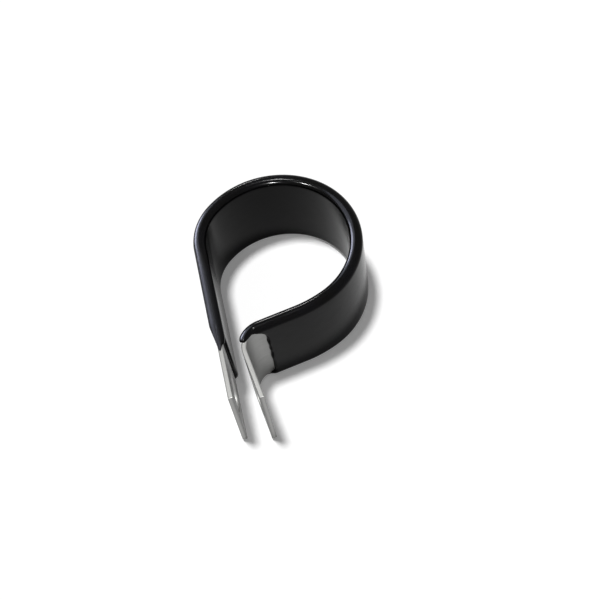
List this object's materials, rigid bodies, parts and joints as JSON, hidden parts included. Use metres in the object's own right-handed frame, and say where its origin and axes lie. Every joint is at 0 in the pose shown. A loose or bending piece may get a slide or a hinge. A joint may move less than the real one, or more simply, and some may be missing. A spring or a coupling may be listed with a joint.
{
  "type": "p clip",
  "caption": "P-shaped cable clip: a flat metal strip bent into a round loop with a drilled tab at each end, its loop dipped in glossy black plastic.",
  "frame": {"origin": "on the axis of the cable that the loop holds, half-way up the strip's width", "axes": "+Z along the cable, +Y from the tabs towards the loop's crown, +X from the long tab towards the short one"},
  "size_m": [0.0267, 0.0393, 0.016],
  "materials": {
    "bare_metal": "mill finish rolled strip, dull on its faces and bright on its slit edges",
    "dipped_plastic": "glossy black dipped PVC with soft round rims"
  },
  "bodies": {
    "root": {"strap": "bare_metal", "coating": "dipped_plastic"}
  },
  "joints": []
}
